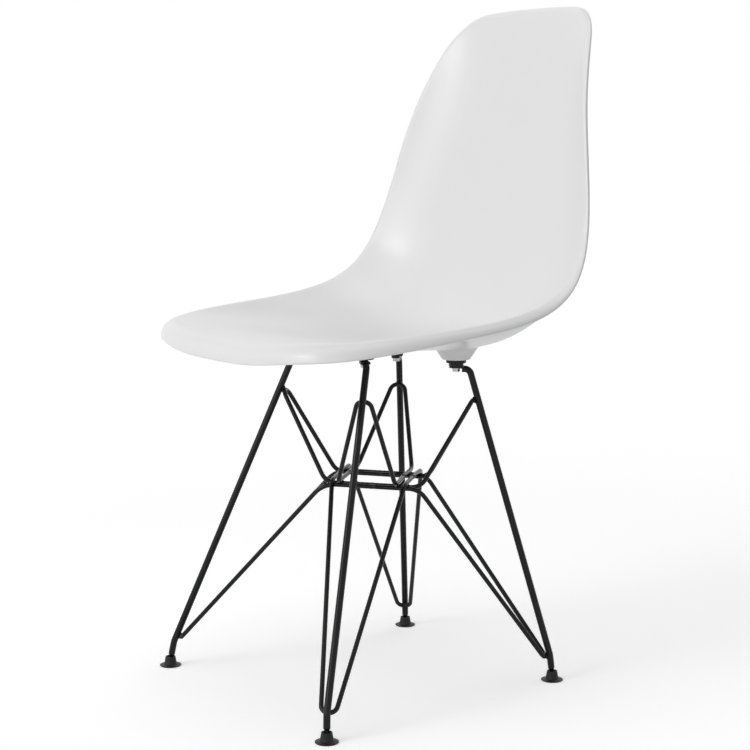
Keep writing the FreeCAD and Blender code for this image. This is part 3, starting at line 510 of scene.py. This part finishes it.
def build_welds():
    """All the weld beads as one piece."""
    for corner, (x, y) in MOUNTS.items():
        end, side = corner.split("_")[0], side_of(corner)
        outward = np.array((side * math.cos(LUG_TURN[end]), math.sin(LUG_TURN[end]), 0.0))
        cross = np.cross(UP, outward)
        # any turn that differs from corner to corner
        turn = 1.7 * x + 0.9 * y
        # lug into the end of the rod, one bead on each side
        wide, long, tall = LUG_BEAD
        root = np.array((x, y, LUG_TOP[end] - LUG_THICKNESS / 2.0)) + outward * (ROD_END - WELD_SHIFT)
        for hand in (-1.0, 1.0):
            place = root + cross * (hand * LUG_BEAD_ASIDE)
            weld_bead(place, cross * wide, outward * long, UP * tall, turn + hand)
        # hairpin tips on the leg
        wide, long, tall = TIP_BEAD
        for level in ("lower", "upper"):
            place, leg, inward = weld_place(level, corner)
            contact = place + inward * (LEG_ROD / 2.0 + WELD_SHIFT)
            weld_bead(contact, np.cross(inward, leg) * wide, leg * long, inward * tall, turn + place[2])
    # the bars' ends butted together
    for corner in ("front_left", "front_right"):
        heading = bar_heading(corner)
        sideways = np.cross(UP, heading)
        for gap in HALF_GAP.values():
            for hand in (-1.0, 1.0):
                butt = bar_point(corner, 0.0, hand * gap)
                weld_bead(butt, heading * BUTT_LENGTH, sideways * BUTT_RADIUS, UP * BUTT_RADIUS, gap + hand)
    # nuggets where the bars lie on each other
    over, under = bar_heading("front_left"), bar_heading("front_right")
    across = np.array((np.cross(UP, over)[:2], -np.cross(UP, under)[:2]))
    gaps = sorted(hand * gap for gap in HALF_GAP.values() for hand in (-1.0, 1.0))
    for gap_over in gaps:
        for gap_under in gaps:
            spot = np.linalg.solve(across, np.array((gap_over, gap_under)))
            top = bar_point("front_left", over[:2].dot(spot), gap_over)
            weld_bead(top - UP * WIRE / 2.0, over * NUGGET_WIDTH, under * NUGGET_WIDTH,
                      UP * NUGGET_HEIGHT, gap_over + 2.0 * gap_under)
    return mesh_object("weld_beads", weld_points, weld_faces)


welds = build_welds()


# Materials

def new_material(name):
    """A material, its nodes and links, its Principled shader and the piece's own coordinates."""
    material = bpy.data.materials.new(name)
    material.use_nodes = True
    nodes, links = material.node_tree.nodes, material.node_tree.links
    nodes.clear()
    output = nodes.new("ShaderNodeOutputMaterial")
    shader = nodes.new("ShaderNodeBsdfPrincipled")
    links.new(shader.outputs["BSDF"], output.inputs["Surface"])
    where = nodes.new("ShaderNodeTexCoord")
    return material, nodes, links, shader, where.outputs["Object"]


def noise(nodes, links, where, scale, detail=3.0, roughness=0.5):
    node = nodes.new("ShaderNodeTexNoise")
    node.inputs["Scale"].default_value = scale
    node.inputs["Detail"].default_value = detail
    node.inputs["Roughness"].default_value = roughness
    links.new(where, node.inputs["Vector"])
    return node.outputs["Fac"]


def ramp(nodes, links, value, low, high, out_low, out_high):
    node = nodes.new("ShaderNodeMapRange")
    node.inputs["From Min"].default_value = low
    node.inputs["From Max"].default_value = high
    node.inputs["To Min"].default_value = out_low
    node.inputs["To Max"].default_value = out_high
    links.new(value, node.inputs["Value"])
    return node.outputs["Result"]


def mix_colour(nodes, links, factor, one, two):
    node = nodes.new("ShaderNodeMix")
    node.data_type = "RGBA"
    node.inputs[6].default_value = (*one, 1.0)
    node.inputs[7].default_value = (*two, 1.0)
    links.new(factor, node.inputs[0])
    return node.outputs[2]


def bump(nodes, links, shader, height, strength, distance):
    node = nodes.new("ShaderNodeBump")
    node.inputs["Strength"].default_value = strength
    node.inputs["Distance"].default_value = distance
    links.new(height, node.inputs["Height"])
    links.new(node.outputs["Normal"], shader.inputs["Normal"])


def moulded_white():
    """White shell plastic: almost even in colour, satin, with a very fine skin."""
    material, nodes, links, shader, where = new_material("moulded_white_plastic")
    broad = noise(nodes, links, where, 6.0, 2.0)
    colour = mix_colour(nodes, links, broad, (0.800, 0.798, 0.800), (0.812, 0.812, 0.812))
    links.new(colour, shader.inputs["Base Color"])
    fine = noise(nodes, links, where, 1600.0, 3.0, 0.6)
    cloud = noise(nodes, links, where, 9.0, 2.0)
    links.new(ramp(nodes, links, cloud, 0.0, 1.0, 0.28, 0.31), shader.inputs["Roughness"])
    shader.inputs["IOR"].default_value = 1.49
    bump(nodes, links, shader, fine, 0.04, 0.00002)
    return material


def black_coat():
    """Smooth black coat of the rods and wires."""
    material, nodes, links, shader, where = new_material("black_powder_coat")
    broad = noise(nodes, links, where, 40.0, 3.0)
    colour = mix_colour(nodes, links, broad, (0.003, 0.003, 0.0031), (0.005, 0.005, 0.0053))
    links.new(colour, shader.inputs["Base Color"])
    links.new(ramp(nodes, links, noise(nodes, links, where, 160.0), 0.3, 0.7, 0.15, 0.20),
              shader.inputs["Roughness"])
    shader.inputs["IOR"].default_value = 1.31
    fine = noise(nodes, links, where, 1400.0, 3.0, 0.6)
    bump(nodes, links, shader, fine, 0.08, 0.0002)
    return material


def black_nylon(name, low, high, rough):
    """Dull black plastic of the spacers and feet."""
    material, nodes, links, shader, where = new_material(name)
    broad = noise(nodes, links, where, 120.0, 3.0)
    links.new(mix_colour(nodes, links, broad, (low,) * 3, (high,) * 3), shader.inputs["Base Color"])
    links.new(ramp(nodes, links, noise(nodes, links, where, 300.0), 0.3, 0.7, rough - 0.05, rough + 0.06),
              shader.inputs["Roughness"])
    shader.inputs["IOR"].default_value = 1.32
    fine = noise(nodes, links, where, 2200.0, 3.0, 0.6)
    bump(nodes, links, shader, fine, 0.12, 0.0003)
    return material


def bright_metal(name, one, two, rough):
    """Bare or plated metal between two colours."""
    material, nodes, links, shader, where = new_material(name)
    shader.inputs["Metallic"].default_value = 1.0
    broad = noise(nodes, links, where, 220.0, 3.0)
    links.new(mix_colour(nodes, links, broad, one, two), shader.inputs["Base Color"])
    links.new(ramp(nodes, links, noise(nodes, links, where, 700.0), 0.3, 0.7, rough - 0.05, rough + 0.08),
              shader.inputs["Roughness"])
    bump(nodes, links, shader, noise(nodes, links, where, 1800.0), 0.08, 0.0002)
    return material


white = moulded_white()
black = black_coat()
nylon = black_nylon("black_nylon", 0.007, 0.012, 0.42)
glide_nylon = black_nylon("foot_nylon", 0.009, 0.016, 0.46)
# zinc plate, set darker than bright zinc: partly the bolts' own grey, partly painted shade for the bolts
# and washers that sit in the shade under the seat
zinc_with_painted_shade = bright_metal("zinc_plate_with_painted_shade", (0.38, 0.38, 0.39), (0.50, 0.50, 0.51), 0.33)
brass = bright_metal("turned_brass", (0.62, 0.45, 0.2), (0.74, 0.56, 0.28), 0.34)


def node_material(name):
    """Material of one of the built part's nodes."""
    if name.startswith("glide_"):
        return glide_nylon
    if name.startswith("mount_spacer_"):
        return nylon
    # bolts and washers: zinc colour darkened with painted shade
    if name in ("mount_bolts", "bolt_washers"):
        return zinc_with_painted_shade
    return {"thread_inserts": brass, "seat_shell": white}.get(name, black)


def dress(piece, material):
    """A new piece's material, body and material slot."""
    piece.data.materials.append(material)
    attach(piece, "chair")


for name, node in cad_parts.items():
    node.data.materials.clear()
    node.data.materials.append(node_material(name))
for piece in [shell] + bosses:
    dress(piece, white)
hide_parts("seat_shell")
for corner, spacer in spacers.items():
    dress(spacer, nylon)
    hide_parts("mount_spacer_" + corner)
for (level, corner), wire in wires.items():
    dress(wire, black)
    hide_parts("brace_%s_%s" % (level, corner))
dress(welds, black)


# Floor, backdrop colour and studio light

# emission that lifts the floor to white where it is seen: close to the chair, and far from it
FLOOR_NEAR, FLOOR_FAR = 0.38, 0.74
# strength of the room's light, from behind the chair and from the front
ROOM_REAR, ROOM_FRONT = 0.03, 0.74
LIGHT_DISTANCE = 4.0


def seen_directly(nodes, links):
    """1 for rays that show the background itself: camera, glossy and transmission rays."""
    path = nodes.new("ShaderNodeLightPath")
    either = nodes.new("ShaderNodeMath")
    either.operation = "MAXIMUM"
    links.new(path.outputs["Is Camera Ray"], either.inputs[0])
    links.new(path.outputs["Is Glossy Ray"], either.inputs[1])
    any_of = nodes.new("ShaderNodeMath")
    any_of.operation = "MAXIMUM"
    links.new(either.outputs[0], any_of.inputs[0])
    links.new(path.outputs["Is Transmission Ray"], any_of.inputs[1])
    return any_of.outputs[0]


def stage_floor():
    """Wide pale floor that fades into the backdrop."""
    mesh = bpy.data.meshes.new("floor")
    half, fade_from, fade_to = 30.0, 1.0, 6.0
    corners = [(-half, -half, 0), (half, -half, 0), (half, half, 0), (-half, half, 0)]
    mesh.from_pydata(corners, [], [(0, 1, 2, 3)])
    obj = bpy.data.objects.new("floor", mesh)
    bpy.context.scene.collection.objects.link(obj)
    material, nodes, links, shader, where = new_material("pale_floor")
    shader.inputs["Base Color"].default_value = (0.9, 0.9, 0.9, 1.0)
    shader.inputs["Roughness"].default_value = 0.9
    shader.inputs["Emission Color"].default_value = (1.0, 1.0, 1.0, 1.0)
    distance = nodes.new("ShaderNodeVectorMath")
    distance.operation = "LENGTH"
    links.new(where, distance.inputs[0])
    level = ramp(nodes, links, distance.outputs["Value"], fade_from, fade_to, FLOOR_NEAR, FLOOR_FAR)
    lift = nodes.new("ShaderNodeMath")
    lift.operation = "MULTIPLY"
    links.new(level, lift.inputs[1])
    links.new(seen_directly(nodes, links), lift.inputs[0])
    links.new(lift.outputs[0], shader.inputs["Emission Strength"])
    obj.data.materials.append(material)


def studio_world():
    """White backdrop where it is seen, and for the rest a soft room, brighter from the front."""
    world = bpy.data.worlds.new("studio")
    bpy.context.scene.world = world
    world.use_nodes = True
    nodes, links = world.node_tree.nodes, world.node_tree.links
    nodes.clear()
    backdrop = nodes.new("ShaderNodeBackground")
    backdrop.inputs["Color"].default_value = (1.0, 1.0, 1.0, 1.0)
    backdrop.inputs["Strength"].default_value = 1.0
    room = nodes.new("ShaderNodeBackground")
    room.inputs["Color"].default_value = (0.8, 0.8, 0.8, 1.0)
    direction = nodes.new("ShaderNodeTexCoord")
    toward_front = nodes.new("ShaderNodeVectorMath")
    toward_front.operation = "DOT_PRODUCT"
    toward_front.inputs[1].default_value = (0.0, -1.0, 0.0)
    links.new(direction.outputs["Generated"], toward_front.inputs[0])
    room_level = ramp(nodes, links, toward_front.outputs["Value"], -1.0, 1.0, ROOM_REAR, ROOM_FRONT)
    links.new(room_level, room.inputs["Strength"])
    choice = nodes.new("ShaderNodeMixShader")
    links.new(seen_directly(nodes, links), choice.inputs[0])
    links.new(room.outputs[0], choice.inputs[1])
    links.new(backdrop.outputs[0], choice.inputs[2])
    surface = nodes.new("ShaderNodeOutputWorld")
    links.new(choice.outputs[0], surface.inputs[0])


def studio_light(name, azimuth, elevation, width, height, power):
    """Softbox aimed at the chair: degrees from the front to the sitter's left and up, metres, watts."""
    a, e = math.radians(azimuth), math.radians(elevation)
    away = Vector((math.sin(a) * math.cos(e), -math.cos(a) * math.cos(e), math.sin(e)))
    data = bpy.data.lights.new(name, "AREA")
    data.shape = "RECTANGLE"
    data.size = width
    data.size_y = height
    data.energy = power
    light = bpy.data.objects.new(name, data)
    light.location = Vector((0.0, 0.0, 0.45)) + away * LIGHT_DISTANCE
    light.rotation_mode = "QUATERNION"
    light.rotation_quaternion = (-away).to_track_quat("-Z", "Y")
    bpy.context.scene.collection.objects.link(light)


stage_floor()
studio_world()
studio_light("key", -1, 16, 1.5, 2.2, 31)
studio_light("key_spot", -9, 30, 1.0, 0.8, 17)
studio_light("front_high", -10, 56, 2.4, 1.4, 9)
studio_light("front_left_low", 35, 10, 1.6, 1.0, 7.5)
studio_light("overhead", 0, 90, 2.4, 2.4, 26)
studio_light("left_rear", -110, 28, 2.4, 2.0, 4.7)
studio_light("rear_high", 190, 50, 2.4, 1.6, 17)

bpy.context.scene.view_settings.view_transform = "Standard"
